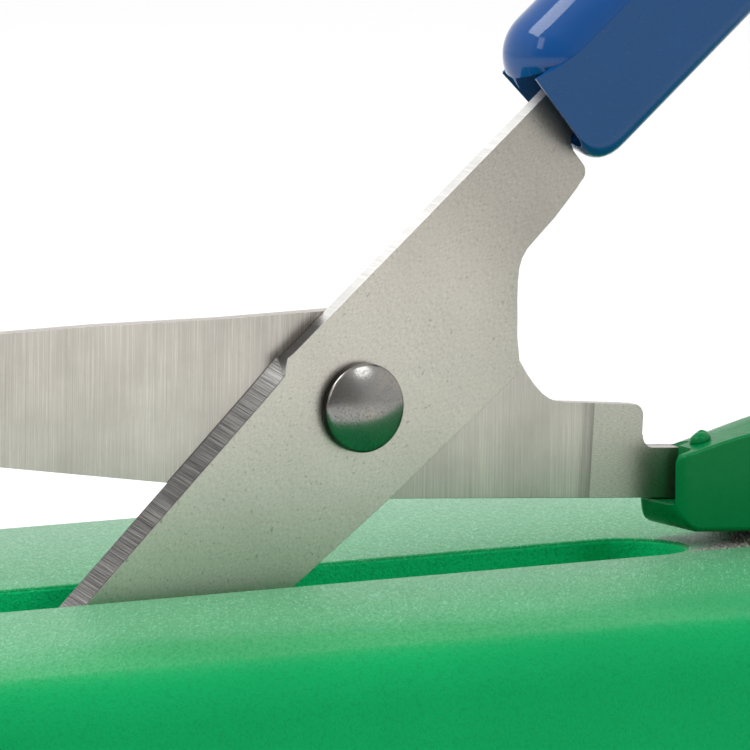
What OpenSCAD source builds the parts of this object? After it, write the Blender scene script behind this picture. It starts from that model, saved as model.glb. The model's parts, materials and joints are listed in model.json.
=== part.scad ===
// Table-top push-down scissors: two blades on a slotted base, closed by pushing one handle down.
// The origin is on the table under the middle of the base. X runs from the blade tips to the
// handles, Y runs away from the face with the rivet head, Z is up. Millimetres.

/* [Base] */
// Length of the base
base_len = 230; // [210:5:250]
// Width of the base
base_wid = 88; // [80:2:96]
// Height of the base's top above the table
base_top = 40; // [40:1:46]
// Wall thickness of the base
base_wall = 2.6; // [2:0.2:3.2]
// Width of the slot that the moving blade drops into
slot_wid = 11; // [9:0.5:12]

/* [Blades] */
// Height of the pivot above the base's top
pivot_rise = 14.9; // [14:0.1:16]
// Distance from the middle of the base back to the pivot
pivot_back = 17; // [12:1:22]
// Thickness of each blade
blade_t = 1.6; // [1.2:0.1:2]
// Length of each blade from pivot to tip
blade_len = 75; // [70:1:76]
// Angle of the fixed blade below level, tips up
fixed_tilt = 3.9; // [3:0.1:5]
// Angle of the moving blade above level at rest
open_tilt = 39.5; // [36:0.5:42]

/* [Handles] */
// Width of both handles
handle_wid = 9.2; // [9.2:0.2:11]
// Length of the push handle, from the pivot
push_len = 96; // [90:2:100]
// Length of the palm bar across the push handle
palm_len = 84; // [70:2:86]

/* [Hidden] */

round_fn = 48;             // facets used only where 2D outlines are rounded
gap = 0.05;                // running gap between faces that slide
pivot = [-pivot_back, 0, base_top + pivot_rise];

// Base
foot_h = 2;
cover_t = 2.5;
corner_r = 16;
shoulder_r = 5;
slot_from = -80;           // slot ends, measured along X from the pivot
slot_to = 34.5;
slot_wall = 2.2;
slot_deep = 12;
pad_from = 39;             // raised pad under the fixed handle, from the pivot
pad_ramp = 6;
pad_to = 124;
pad_h = 1.6;
pad_half = 5.5;
screw_x = [-84, 0, 84];    // screws that hold the bottom cover
screw_y = 33;
cover_screw_r = 1.5;
boss_r = 4.5;
foot_x = 98;
foot_y = 30;
foot_r = 7;

// Blade outline: u runs toward the handle, v toward the cutting edge
edge_v = 8.4;
tip_v = 2.5;
heel_u = -3;
tang_v = 3.8;
tang_end = 60;
notch_u = 31;
rivet_r = 2.5;

// Rivet
head_r = 4;
head_side = 1.0;
head_dome = 0.9;
washer_t = 0.6;
bush_len = 3.4;
tail_r = 3.5;
tail_h = 1.1;

// Handles, in blade coordinates
handle_crest = [55, -2]; // highest point of the fixed handle, X and Z from the pivot
bumper_r = 3.6;
bumper_sunk = 0.8;
bumper_rise = 2.1;
push_front = 31;
push_low = 0.2;
push_split = 10.4;
push_high = 14.5;
push_skin = 1.3;
push_floor = 2.6;          // inside face of the push handle's floor
pin_u = 52;
pin_r = 1.25;
palm_deep = 13.5;
palm_wide = 26;
palm_low = 3;
palm_cap = 4;
palm_screw_r = 1;
push_screw_u = [65, 84];
leg_end = 44;              // where the spring's legs end, along both handles
palm_screw_u = [push_len + 4, push_len + 10];
tongue_len = 14;           // end of the push handle inside the palm bar
tongue_half = 3.6;
tongue_low = 4.6;
tongue_high = 10;
mount_screw_x = [66, 104]; // screws through the base's pad into the fixed handle

// Places children, drawn in the XZ plane as 2D x and y, at the pivot and at an angle above level
module at_pivot(angle) {
    translate(pivot) rotate([0, -angle, 0]) children();
}

// Extrudes a 2D side view from y = low to y = high
module side(low, high) {
    translate([0, high, 0]) rotate([90, 0, 0]) linear_extrude(height = high - low) children();
}

// A round bar along Y
module y_bar(r, low, high) {
    translate([0, low, 0]) rotate([-90, 0, 0]) cylinder(r = r, h = high - low, $fn = round_fn);
}

// Rounded rectangle in plan, inset from the base's outline
module base_plan(inset) {
    r = corner_r - inset;
    offset(r = r, $fn = round_fn)
        square([base_len - 2 * corner_r, base_wid - 2 * corner_r], center = true);
}

// Slot outline in plan, grown by a margin
module slot_plan(grow) {
    r = slot_wid / 2;
    hull() for (x = [slot_from + r, slot_to - r])
        translate([pivot[0] + x, 0]) circle(r = r + grow, $fn = round_fn);
}

// Upright outline with rounded upper shoulders, half width w, from z = low to the base's top
module shoulder_view(w, low, inset) {
    r = shoulder_r - inset;
    hull() {
        translate([-w + inset, low]) square([2 * (w - inset), 1]);
        for (s = [-1, 1])
            translate([s * (w - shoulder_r), base_top - shoulder_r]) circle(r = r, $fn = round_fn);
    }
}

module base_form(inset, low) {
    intersection() {
        translate([0, 0, low]) linear_extrude(height = base_top) base_plan(inset);
        rotate([90, 0, 0]) linear_extrude(height = base_len, center = true)
            shoulder_view(base_len / 2, low, inset);
        rotate([90, 0, 90]) linear_extrude(height = base_len, center = true)
            shoulder_view(base_wid / 2, low, inset);
    }
}

// Low ramp and pad that carry the fixed handle
module handle_pad() {
    translate(pivot) side(-pad_half, pad_half)
        polygon([[pad_from, -pivot_rise - 1], [pad_from, -pivot_rise],
            [pad_from + pad_ramp, -pivot_rise + pad_h], [pad_to, -pivot_rise + pad_h],
            [pad_to, -pivot_rise - 1]]);
}

module base_shell() {
    color([0.0, 0.48, 0.25]) difference() {
        union() {
            difference() {
                base_form(0, foot_h);
                base_form(base_wall, foot_h - 1);
            }
            handle_pad();
            translate([0, 0, base_top - slot_deep])
                linear_extrude(height = slot_deep - 1) slot_plan(slot_wall);
            for (x = screw_x, s = [-1, 1])
                translate([x, s * screw_y, foot_h + cover_t])
                    cylinder(r = boss_r, h = base_top - foot_h - cover_t - 1, $fn = round_fn);
        }
        linear_extrude(height = base_top + 1) slot_plan(0);
        for (x = screw_x, s = [-1, 1]) translate([x, s * screw_y, 0])
            cylinder(r = cover_screw_r, h = foot_h + cover_t + 12, $fn = round_fn);
        for (x = mount_screw_x) translate([pivot[0] + x, 0, base_top - base_wall - 2])
            cylinder(r = cover_screw_r + 0.3, h = base_wall + 6, $fn = round_fn);
    }
}

module bottom_cover() {
    color([0.10, 0.30, 0.20]) difference() {
        translate([0, 0, foot_h]) linear_extrude(height = cover_t)
            base_plan(base_wall + 0.2);
        for (x = screw_x, s = [-1, 1]) translate([x, s * screw_y, foot_h]) {
            translate([0, 0, -1]) cylinder(r = cover_screw_r + 0.3, h = 6, $fn = round_fn);
            translate([0, 0, -1]) cylinder(r = 3.1, h = 2.1, $fn = round_fn);
        }
    }
}

// Pan head screw pointing up, head underneath, with a cross recess
module screw(r, head, head_h, len) {
    difference() {
        union() {
            cylinder(r = head, h = head_h, $fn = round_fn);
            cylinder(r = r, h = head_h + len, $fn = round_fn);
        }
        for (a = [0, 90]) rotate([0, 0, a]) translate([-head * 0.6, -0.35, -0.1])
            cube([head * 1.2, 0.7, head_h * 0.6]);
    }
}

module cover_screws() {
    color("silver") for (x = screw_x, s = [-1, 1])
        translate([x, s * screw_y, foot_h - 0.2]) screw(cover_screw_r, 2.9, 1.3, 12);
}

module foot(sx, sy) {
    color([0.08, 0.08, 0.08]) translate([sx * foot_x, sy * foot_y, 0]) {
        cylinder(r1 = foot_r - 0.6, r2 = foot_r, h = 0.6, $fn = round_fn);
        translate([0, 0, 0.6]) cylinder(r = foot_r, h = foot_h - 0.6, $fn = round_fn);
    }
}

module foot_tip_near() { foot(-1, -1); }
module foot_tip_far() { foot(-1, 1); }
module foot_handle_near() { foot(1, -1); }
module foot_handle_far() { foot(1, 1); }

// Outline shared by both blades
module blade_outline() {
    tip_r = 2.6;
    hull() {
        translate([-blade_len + tip_r, -0.1]) circle(r = tip_r, $fn = round_fn);
        polygon([[heel_u, edge_v + 0.2], [-blade_len + 1, tip_v - 0.2], [-blade_len + 3, -2.7],
            [-37, -6.4], [-26, -7.3], [-13.6, -8], [-2.4, -8.5]]);
    }
    polygon([[-2.4, -8.5], [14.1, -9], [16, -6.4], [18.1, -3.85], [20.1, -1.75], [21.8, -1],
        [25.7, -0.8], [notch_u - 1.2, -0.2], [notch_u - 0.2, 0.4],
        [notch_u + 0.1, tang_v - 0.7], [notch_u + 0.9, tang_v], [tang_end, tang_v],
        [tang_end, edge_v], [0, edge_v], [heel_u, edge_v + 0.2]]);
}

// A blade with its ground bevel; outer says on which side of y = 0 the outer face lies
module blade(outer, hole_r) {
    bevel = blade_t - 0.15;
    run = blade_len + 6;
    slope = atan((edge_v + 0.2 - tip_v) / (blade_len + heel_u));
    low = outer < 0 ? -blade_t : 0;
    difference() {
        side(low, low + blade_t) blade_outline();
        side(low - 1, low + blade_t + 1) circle(r = hole_r, $fn = round_fn);
        side(low - 1, low + blade_t + 1) pin_circle();
        translate([heel_u, outer * blade_t, edge_v + 0.2])
            rotate([0, -slope, 0]) rotate([0, -90, 0]) linear_extrude(height = run)
                polygon([[1, outer * 1], [-bevel, outer * 1], [-bevel, 0], [0, -outer * bevel],
                    [1, -outer * bevel]]);
    }
}

module fixed_blade() {
    color([0.72, 0.71, 0.67]) at_pivot(-fixed_tilt) mirror([0, 0, 1])
        blade(1, rivet_r);
}

module moving_blade() {
    color([0.75, 0.74, 0.70]) translate([0, -gap, 0]) at_pivot(open_tilt)
        blade(-1, rivet_r + gap);
}

module pivot_rivet() {
    face = -blade_t - 2 * gap;
    back = blade_t + washer_t + bush_len;
    dome_r = (head_r * head_r + head_dome * head_dome) / (2 * head_dome);
    color([0.45, 0.45, 0.45]) translate(pivot) {
        y_bar(rivet_r, face, back);
        y_bar(head_r, face - head_side, face);
        intersection() {
            translate([0, face - head_side - head_dome + dome_r, 0]) sphere(r = dome_r, $fn = 96);
            y_bar(head_r, face - head_side - head_dome, face - head_side);
        }
        y_bar(tail_r, back, back + tail_h);
    }
}

module rivet_washer() {
    color("silver") translate(pivot) difference() {
        y_bar(5, blade_t, blade_t + washer_t);
        y_bar(rivet_r, 0, 5);
    }
}

module spring_bush() {
    color([0.2, 0.2, 0.2]) translate(pivot) difference() {
        y_bar(3.3, blade_t + washer_t, blade_t + washer_t + bush_len);
        y_bar(rivet_r, 0, 10);
    }
}

// Torsion spring: the coil as a plain sleeve, and its two legs along the tangs
module return_spring() {
    wire_r = 0.5;
    coil_r = 4.3;
    near = blade_t + washer_t + 0.05;
    turns = 3;
    far = near + turns * 2 * wire_r;
    bend = 28;
    leg_y = near + wire_r;
    color("silver") translate(pivot) {
        difference() {
            y_bar(coil_r + wire_r, near, far);
            y_bar(coil_r - wire_r, near - 1, far + 1);
        }
        rotate([0, -open_tilt, 0]) translate([0, leg_y, coil_r])
            rotate([0, 90, 0]) cylinder(r = wire_r, h = leg_end, $fn = 24);
        rotate([0, fixed_tilt, 0]) translate([0, far - wire_r, -coil_r]) {
            drop = far - wire_r - leg_y;
            rotate([0, 90, -atan(drop / bend)])
                cylinder(r = wire_r, h = norm([bend, drop]), $fn = 24);
            translate([bend, -drop, 0]) sphere(r = wire_r, $fn = 24);
            translate([bend, -drop, 0]) rotate([0, 90, 0])
                cylinder(r = wire_r, h = leg_end - bend, $fn = 24);
        }
    }
}

// Side view of the fixed handle, in X and Z from the pivot
module fixed_handle_view() {
    floor_z = -pivot_rise + pad_h;
    back_z = handle_crest[1] - (118 - handle_crest[0]) * tan(fixed_tilt);
    polygon([[31.2, -10.5], [31.6, -12], [33.1, -13], [42, -13.5], [44, floor_z],
        [118, floor_z], [121, -11.8], [122, -9.5], [121, back_z - 0.8], [118, back_z],
        handle_crest, [51, -2.2], [46, -2.9], [41.8, -3.8], [33.9, -5.8], [32.1, -6],
        [31.9, -7], [31.9, -10.5]]);
}

// Plan of the fixed handle, narrower at its nose, in X and Y from the pivot
module fixed_handle_plan() {
    half = handle_wid / 2;
    hull() {
        for (s = [-1, 1]) {
            translate([33.7, s * (half - 2.5)]) circle(r = 2.5, $fn = round_fn);
            translate([117, s * (half - 4)]) circle(r = 4, $fn = round_fn);
        }
    }
}

module fixed_handle() {
    inner = handle_wid / 2 - push_skin;
    color([0.0, 0.42, 0.22]) difference() {
        translate(pivot) union() {
            intersection() {
                side(-handle_wid / 2, handle_wid / 2) fixed_handle_view();
                translate([0, 0, -pivot_rise]) linear_extrude(height = pivot_rise)
                    fixed_handle_plan();
            }
            translate([36.2, 0.4, -5.5]) sphere(r = 0.9, $fn = 32);
        }
        at_pivot(-fixed_tilt) mirror([0, 0, 1]) {
            side(-inner, inner) polygon([[28, -1], [35, -1], [35, tang_v - 0.6],
                [46, tang_v - 0.6], [46, edge_v + 0.1], [28, edge_v + 0.1]]);
            side(-gap, blade_t + gap) translate([28, tang_v - gap])
                square([tang_end - 28 + gap, edge_v - tang_v + 2 * gap]);
            side(-handle_wid, handle_wid) pin_circle();
        }
        for (x = mount_screw_x) translate(pivot + [x, 0, -pivot_rise])
            cylinder(r = cover_screw_r, h = 9, $fn = round_fn);
        on_handle_top() translate([0, 0, -bumper_sunk])
            cylinder(r = bumper_r, h = 5, $fn = round_fn);
    }
}

module fixed_handle_screws() {
    color("silver") for (x = mount_screw_x)
        translate([pivot[0] + x, 0, base_top - base_wall - 1.3]) screw(cover_screw_r, 2.9, 1.3, 9);
}

// Cross pin that locks a tang in its handle
module tang_pin() {
    translate([pin_u, 0, (tang_v + edge_v) / 2]) y_bar(pin_r, -handle_wid / 2 + 0.4, handle_wid / 2 - 0.4);
}

module fixed_tang_pin() {
    color("silver") at_pivot(-fixed_tilt) mirror([0, 0, 1]) tang_pin();
}

module push_tang_pin() {
    color("silver") at_pivot(open_tilt) tang_pin();
}

// Places children on the sloping top of the fixed handle
module on_handle_top() {
    translate(pivot + [handle_crest[0], 0, handle_crest[1]]) rotate([0, fixed_tilt, 0])
        translate([6, 0, 0]) children();
}

module handle_bumper() {
    color([0.08, 0.08, 0.08]) on_handle_top() translate([0, 0, -bumper_sunk]) {
        cylinder(r = bumper_r, h = bumper_sunk + 1, $fn = round_fn);
        translate([0, 0, bumper_sunk + 1])
            cylinder(r1 = bumper_r, r2 = bumper_r - 1, h = bumper_rise - 1, $fn = round_fn);
    }
}

module tip_rest_pad() {
    color([0.08, 0.08, 0.08]) translate([-74, 0, foot_h + cover_t])
        translate([-7, -4, 0]) cube([14, 8, 1.1]);
}

// Tongue at the end of the push handle, and the hole for a tang's cross pin, in side view
module tongue_view() {
    translate([push_len - 1, tongue_low]) square([tongue_len + 1, tongue_high - tongue_low]);
}

module pin_circle() {
    translate([pin_u, (tang_v + edge_v) / 2]) circle(r = pin_r, $fn = round_fn);
}

// Side view of the push handle's lower moulding
module push_body_view() {
    polygon([[push_front - 0.2, push_split + 1.3], [push_front, push_low + 3.2],
        [push_front + 0.4, push_low + 1.3], [push_front + 1.4, push_low + 0.5],
        [push_front + 3.6, push_low], [push_len, push_low], [push_len, push_split],
        [36.2, push_split], [33.3, push_split + 0.35]]);
}

module push_handle_body() {
    half = handle_wid / 2;
    blue = [0.10, 0.20, 0.45];
    color(blue) at_pivot(open_tilt) difference() {
        union() {
            side(-half, half) push_body_view();
            side(-tongue_half, tongue_half) tongue_view();
        }
        side(-half + push_skin, half - push_skin) translate([push_front - 2, push_floor])
            square([push_len - 6 - push_front, push_split]);
        side(-half - 1, half + 1) pin_circle();
        for (u = push_screw_u) translate([u, 0, push_low - 1]) {
            cylinder(r = cover_screw_r + 0.3, h = 6, $fn = round_fn);
            cylinder(r = 3.1, h = 2.2, $fn = round_fn);
        }
        for (u = palm_screw_u) translate([u, 0, 0])
            cylinder(r = palm_screw_r, h = tongue_high - 1, $fn = round_fn);
    }
    color(blue) at_pivot(open_tilt) difference() {
        side(-half + 0.5, half - 0.5) translate([pin_u - 6, push_floor - 1])
            square([12, push_split - push_floor]);
        side(-blade_t - 2 * gap, gap) translate([pin_u - 8, tang_v - gap])
            square([tang_end - pin_u + 8 + gap, edge_v - tang_v + 2 * gap]);
        side(-half, half) pin_circle();
    }
}

// Domed cover with a ball nose, as wide as the body
module push_handle_top() {
    dome_r = handle_wid / 2;
    dome_v = push_high - dome_r;
    nose_u = push_front + dome_r;
    color([0.08, 0.22, 0.60]) at_pivot(open_tilt) difference() {
        union() {
            intersection() {
                union() {
                    translate([nose_u, 0, dome_v]) sphere(r = dome_r, $fn = 96);
                    translate([nose_u, 0, dome_v]) rotate([0, 90, 0])
                        cylinder(r = dome_r, h = push_len - nose_u, $fn = 96);
                }
                side(-dome_r, dome_r) polygon([[push_front - 1, push_split + 1.4],
                    [33.3, push_split + 0.4], [36.2, push_split + 0.05],
                    [push_len, push_split + 0.05], [push_len, push_high + 1],
                    [push_front - 1, push_high + 1]]);
            }
            for (u = push_screw_u) translate([u, 0, push_floor + 0.05])
                cylinder(r = 2.6, h = push_high - push_floor - 1.5, $fn = round_fn);
        }
        for (u = push_screw_u) translate([u, 0, 0])
            cylinder(r = cover_screw_r, h = 11, $fn = round_fn);
    }
}

module push_handle_screws() {
    color("silver") at_pivot(open_tilt) for (u = push_screw_u)
        translate([u, 0, push_low - 0.1]) screw(cover_screw_r, 2.9, 1.3, 8);
}

// Palm bar's section, seen along Y in blade coordinates
module palm_view(inset) {
    r = 4;
    translate([push_len, palm_low]) offset(r = r - inset, $fn = round_fn)
        translate([r, r]) square([palm_wide - 2 * r, palm_deep - 2 * r]);
}

module palm_bar() {
    half = palm_len / 2 - palm_cap;
    color([0.10, 0.20, 0.45]) at_pivot(open_tilt) difference() {
        side(-half, half) palm_view(0);
        side(-tongue_half, tongue_half) tongue_view();
        for (u = palm_screw_u) translate([u, 0, 0]) {
            cylinder(r = palm_screw_r + 0.2, h = 6, $fn = round_fn);
            cylinder(r = 2.1, h = palm_low + 0.9, $fn = round_fn);
        }
        for (s = [-1, 1]) side(s < 0 ? -half - 1 : half - 10, s < 0 ? -half + 10 : half + 1)
            palm_view(1.6);
    }
}

module palm_cap_end(s) {
    half = palm_len / 2 - palm_cap;
    color([0.08, 0.22, 0.60]) at_pivot(open_tilt) {
        side(s < 0 ? -half - palm_cap : half, s < 0 ? -half : half + palm_cap) palm_view(0.6);
        side(s < 0 ? -half : half - 6, s < 0 ? -half + 6 : half) palm_view(1.7);
    }
}

module palm_cap_near() { palm_cap_end(-1); }
module palm_cap_far() { palm_cap_end(1); }

module palm_bar_screws() {
    color("silver") at_pivot(open_tilt) for (u = palm_screw_u)
        translate([u, 0, palm_low]) screw(palm_screw_r, 1.9, 0.9, 5);
}

base_shell();
bottom_cover();
cover_screws();
foot_tip_near();
foot_tip_far();
foot_handle_near();
foot_handle_far();
fixed_blade();
moving_blade();
pivot_rivet();
rivet_washer();
spring_bush();
return_spring();
fixed_handle();
fixed_handle_screws();
fixed_tang_pin();
handle_bumper();
tip_rest_pad();
push_handle_body();
push_handle_top();
push_handle_screws();
push_tang_pin();
palm_bar();
palm_cap_near();
palm_cap_far();
palm_bar_screws();
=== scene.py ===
import json
import math

import bmesh
import bpy
from mathutils import Matrix, Vector

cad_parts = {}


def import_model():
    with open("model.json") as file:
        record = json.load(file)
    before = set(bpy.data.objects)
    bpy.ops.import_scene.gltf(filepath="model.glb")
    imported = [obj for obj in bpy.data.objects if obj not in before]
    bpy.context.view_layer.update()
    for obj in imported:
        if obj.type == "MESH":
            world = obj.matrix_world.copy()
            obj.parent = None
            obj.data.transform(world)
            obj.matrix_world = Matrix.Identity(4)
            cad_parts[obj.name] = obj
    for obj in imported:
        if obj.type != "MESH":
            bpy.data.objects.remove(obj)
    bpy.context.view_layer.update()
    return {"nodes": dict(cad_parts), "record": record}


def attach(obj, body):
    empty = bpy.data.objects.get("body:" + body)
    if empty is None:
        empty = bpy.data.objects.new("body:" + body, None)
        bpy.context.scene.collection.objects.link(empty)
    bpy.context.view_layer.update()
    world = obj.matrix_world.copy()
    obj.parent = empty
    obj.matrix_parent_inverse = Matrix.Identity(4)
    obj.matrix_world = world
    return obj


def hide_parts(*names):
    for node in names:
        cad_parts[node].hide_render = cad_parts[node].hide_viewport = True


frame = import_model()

MM = 0.001
PIVOT = Vector(frame["record"]["behaviour"]["joints"][0]["pos_m"]) / MM

# Shared dimensions, in millimetres. "u" runs along a blade from the pivot towards the handle,
# "v" across it towards the cutting edge, and X and Z are measured from the pivot.
BLADE_T = 1.6
BLADE_FROM, BLADE_TO = -75, 35
FIXED_TILT = -3.9
OPEN_TILT = 39.5
HANDLE_HALF = 4.6
HANDLE_FRONT = 31.2
BASE_HALF_L, BASE_HALF_W, BASE_TOP = 115.0, 44.0, 40.0
CORNER_R, SHOULDER_R, WALL, FOOT_H = 16.0, 5.0, 2.6, 2.0
SLOT_FROM, SLOT_TO, SLOT_HALF = -80.0, 34.5, 5.5
TOP = BASE_TOP - PIVOT.z
BOTTOM = TOP - BASE_TOP + FOOT_H


# ---------------------------------------------------------------- meshes

def to_world(point):
    """A point in millimetres from the pivot, as metres in the shared frame."""
    return (Vector(point) + PIVOT) * MM


def blade_point(u, y, v, tilt, flip):
    """A point given along (u), across (v) and through (y) a blade; flip is -1 where v runs down."""
    a = math.radians(tilt)
    across = v * flip
    return (u * math.cos(a) - across * math.sin(a), y, u * math.sin(a) + across * math.cos(a))


def make_mesh(name, points, faces, material, smooth_angle=30):
    """An object from points in millimetres from the pivot."""
    mesh = bpy.data.meshes.new(name)
    mesh.from_pydata([to_world(p) for p in points], [], faces)
    mesh.validate()
    obj = bpy.data.objects.new(name, mesh)
    bpy.context.scene.collection.objects.link(obj)
    mesh.materials.append(material)
    fix_normals(obj)
    mesh.shade_smooth()
    mesh.set_sharp_from_angle(angle=math.radians(smooth_angle))
    return obj


def fix_normals(obj):
    bm = bmesh.new()
    bm.from_mesh(obj.data)
    bmesh.ops.recalc_face_normals(bm, faces=bm.faces)
    bm.to_mesh(obj.data)
    bm.free()


def loft(rings, wrap=False):
    """Faces that join equal rings of points; wrap joins the last ring to the first."""
    n = len(rings[0])
    points = [p for ring in rings for p in ring]
    faces = []
    count = len(rings) if wrap else len(rings) - 1
    for r in range(count):
        a = r * n
        b = ((r + 1) % len(rings)) * n
        for i in range(n):
            j = (i + 1) % n
            faces.append((a + i, a + j, b + j, b + i))
    if not wrap:
        faces.append(tuple(range(n)))
        faces.append(tuple(range((len(rings) - 1) * n, len(rings) * n)))
    return points, faces


def lathe(profile, steps=96):
    """A closed turned shape about the pivot's Y axis from (radius, y) points."""
    rings = []
    for radius, y in profile:
        r = max(radius, 0.001)
        rings.append([(r * math.cos(2 * math.pi * i / steps), y,
                       r * math.sin(2 * math.pi * i / steps)) for i in range(steps)])
    return rings


def arc(cx, cy, r, start, end, steps):
    """Points on an arc, angles in degrees."""
    out = []
    for i in range(steps + 1):
        a = math.radians(start + (end - start) * i / steps)
        out.append((cx + r * math.cos(a), cy + r * math.sin(a)))
    return out


def soften(obj, width, segments=2, angle=30):
    """Rounds an object's sharp edges and applies the rounding."""
    bevel = obj.modifiers.new("edges", "BEVEL")
    bevel.width = width * MM
    bevel.segments = segments
    bevel.limit_method = "ANGLE"
    bevel.angle_limit = math.radians(angle)
    bevel.harden_normals = False
    bevel.use_clamp_overlap = True
    apply_modifiers(obj)
    crisp(obj, 40)


def crisp(obj, angle=20):
    """Marks edges sharper than the angle and keeps large faces evenly shaded."""
    obj.data.shade_smooth()
    obj.data.set_sharp_from_angle(angle=math.radians(angle))
    weights = obj.modifiers.new("weights", "WEIGHTED_NORMAL")
    weights.keep_sharp = True
    weights.weight = 100
    apply_modifiers(obj)


def apply_modifiers(obj):
    deps = bpy.context.evaluated_depsgraph_get()
    mesh = bpy.data.meshes.new_from_object(obj.evaluated_get(deps))
    old = obj.data
    obj.modifiers.clear()
    obj.data = mesh
    bpy.data.meshes.remove(old)


def cut(obj, *tools):
    """Cuts the tools out of an object and removes them."""
    for tool in tools:
        mod = obj.modifiers.new("cut", "BOOLEAN")
        mod.operation = "DIFFERENCE"
        mod.solver = "EXACT"
        mod.object = tool
        apply_modifiers(obj)
        bpy.data.objects.remove(tool)


def place(obj, body, slot, *nodes):
    """Rides a finished piece on a body and lets it stand for CAD nodes."""
    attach(obj, body)
    if nodes:
        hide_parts(*nodes)
    return obj


# ---------------------------------------------------------------- materials

class Mat:
    """A node material with its principled shader, and short ways to add nodes."""

    def __init__(self, name, color, roughness, metallic=0.0, **sockets):
        self.mat = bpy.data.materials.new(name)
        self.mat.use_nodes = True
        self.tree = self.mat.node_tree
        self.shader = self.tree.nodes["Principled BSDF"]
        self.set("Base Color", (*color, 1))
        self.set("Roughness", roughness)
        self.set("Metallic", metallic)
        for key, value in sockets.items():
            self.set(key.replace("_", " "), value)

    def set(self, socket, value):
        self.shader.inputs[socket].default_value = value

    def node(self, kind, **props):
        n = self.tree.nodes.new("ShaderNode" + kind)
        for key, value in props.items():
            setattr(n, key, value)
        return n

    def link(self, source, target):
        self.tree.links.new(source, target)

    def coords(self, origin=(0, 0, 0), turn=0.0, scale=(1, 1, 1), spin=0.0):
        """Object coordinates in millimetres from origin, turned about Y or Z, then stretched."""
        tex = self.node("TexCoord")
        first = self.node("Mapping", vector_type="TEXTURE")
        first.inputs["Location"].default_value = Vector(origin) * MM
        first.inputs["Rotation"].default_value = (0, math.radians(-turn), math.radians(spin))
        first.inputs["Scale"].default_value = (MM, MM, MM)
        self.link(tex.outputs["Object"], first.inputs["Vector"])
        second = self.node("Mapping")
        second.inputs["Scale"].default_value = scale
        self.link(first.outputs["Vector"], second.inputs["Vector"])
        return second.outputs["Vector"]

    def axes(self, vector):
        """The three parts of a vector."""
        split = self.node("SeparateXYZ")
        self.link(vector, split.inputs[0])
        return split.outputs

    def noise(self, vector, scale, detail, rough):
        n = self.node("TexNoise")
        n.inputs["Scale"].default_value = scale
        n.inputs["Detail"].default_value = detail
        n.inputs["Roughness"].default_value = rough
        self.link(vector, n.inputs["Vector"])
        return n.outputs["Fac"]

    def ramp(self, fac, *stops):
        """A colour ramp; each stop is (position, grey or colour)."""
        r = self.node("ValToRGB")
        ramp = r.color_ramp
        while len(ramp.elements) < len(stops):
            ramp.elements.new(0.5)
        for element, (position, value) in zip(ramp.elements, stops):
            element.position = position
            rgb = value if isinstance(value, tuple) else (value, value, value)
            element.color = (*rgb, 1)
        self.link(fac, r.inputs["Fac"])
        return r.outputs["Color"]

    def math(self, operation, a, b):
        m = self.node("Math", operation=operation)
        for socket, value in zip(m.inputs, (a, b)):
            if isinstance(value, (int, float)):
                socket.default_value = value
            else:
                self.link(value, socket)
        return m.outputs[0]

    def mix(self, a, b, fac, blend="MIX"):
        m = self.node("Mix", data_type="RGBA", blend_type=blend)
        for socket, value in ((m.inputs[0], fac), (m.inputs[6], a), (m.inputs[7], b)):
            if isinstance(value, (int, float)):
                socket.default_value = value
            elif isinstance(value, tuple):
                socket.default_value = (*value, 1)
            else:
                self.link(value, socket)
        return m.outputs[2]

    def bump(self, height, distance, strength):
        b = self.node("Bump")
        b.inputs["Distance"].default_value = distance * MM
        b.inputs["Strength"].default_value = strength
        self.link(height, b.inputs["Height"])
        return b.outputs["Normal"]

    def along(self, vector, low, high, *stops):
        """A ramp of grey read along the first axis of a vector between two values."""
        span = self.node("MapRange")
        span.inputs["From Min"].default_value = low
        span.inputs["From Max"].default_value = high
        self.link(self.axes(vector)[0], span.inputs["Value"])
        return self.ramp(span.outputs[0], *[((at - low) / (high - low), value) for at, value in stops])

    def use(self, socket, output):
        self.link(output, self.shader.inputs[socket])


def spark_plastic(name, color, roughness, grain=3.2, depth=0.035, speck=0.25):
    """Satin moulded plastic with a fine spark-eroded texture."""
    m = Mat(name, color, roughness, Specular_IOR_Level=0.12)
    p = m.coords()
    fine = m.noise(p, grain, 3, 0.6)
    broad = m.noise(p, 0.06, 2, 0.5)
    shade = m.ramp(broad, (0.3, tuple(c * 0.92 for c in color)), (0.7, tuple(c * 1.06 for c in color)))
    m.use("Base Color", m.mix(shade, tuple(c * 0.8 for c in color),
                              m.ramp(fine, (0.45, 0.0), (0.75, speck))))
    m.use("Roughness", m.ramp(fine, (0.3, roughness - 0.06), (0.7, roughness + 0.08)))
    m.use("Normal", m.bump(fine, depth, 0.8))
    return m.mat


def smooth_plastic(name, color, roughness, coat=0.0):
    """Glossy or satin moulded plastic with faint flow waves and scuffs."""
    m = Mat(name, color, roughness, Coat_Weight=coat, Coat_Roughness=0.04, Specular_IOR_Level=0.3)
    p = m.coords()
    flow = m.noise(p, 0.09, 2, 0.5)
    scuff = m.noise(m.coords(scale=(1, 1, 3)), 1.4, 4, 0.65)
    m.use("Base Color", m.ramp(flow, (0.3, tuple(c * 0.94 for c in color)),
                               (0.7, tuple(c * 1.05 for c in color))))
    m.use("Roughness", m.ramp(scuff, (0.45, roughness), (0.8, roughness + 0.10)))
    m.use("Normal", m.bump(m.noise(p, 0.35, 2, 0.5), 0.004, 0.5))
    return m.mat


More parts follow.
